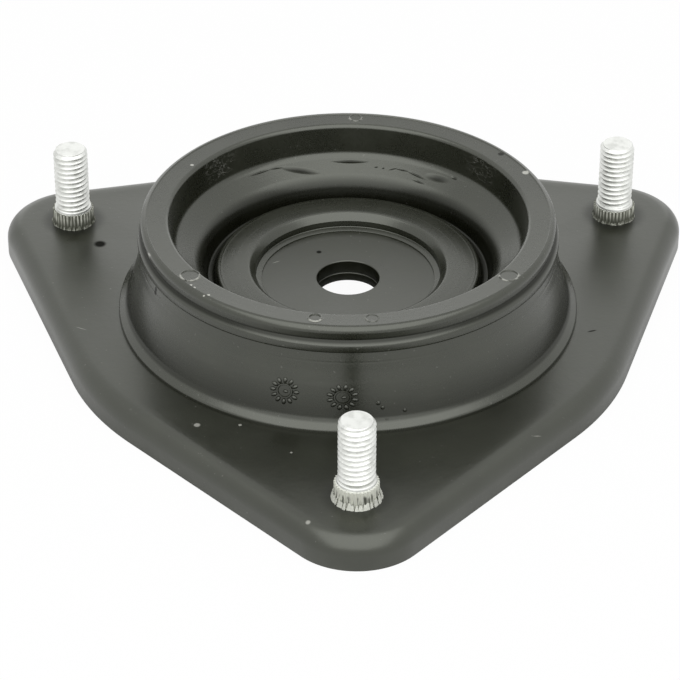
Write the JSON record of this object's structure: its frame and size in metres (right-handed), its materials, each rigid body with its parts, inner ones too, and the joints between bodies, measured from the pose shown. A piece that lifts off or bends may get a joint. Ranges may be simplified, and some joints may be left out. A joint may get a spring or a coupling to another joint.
{
  "type": "strut mount",
  "caption": "Bonded rubber strut top mount: pressed steel plate with turned-down edge and fixed studs, tall rubber collar round a drawn steel wall, and a dished core plate with a plain rod hole.",
  "frame": {"origin": "lower end of the rod hole, on its axis, in the face under the core plates that the damper's shoulder or bearing presses on", "axes": "+Z along the rod axis towards the studs' free ends; one stud points along -Y, the other two are 120 degrees either side of it; the row is mirror symmetric about the YZ plane"},
  "size_m": [0.1598, 0.155, 0.031],
  "materials": {
    "black_coated_steel": "satin black coating, a little uneven",
    "black_rubber": "moulded, satin, with mould marks",
    "zinc_plated_steel": "bright zinc plating"
  },
  "bodies": {
    "root": {"mounting_plate": "black_coated_steel", "rubber_insulator": "black_rubber", "core_plate": "black_coated_steel", "backing_plate": "black_coated_steel", "mounting_studs": "zinc_plated_steel"}
  },
  "joints": []
}
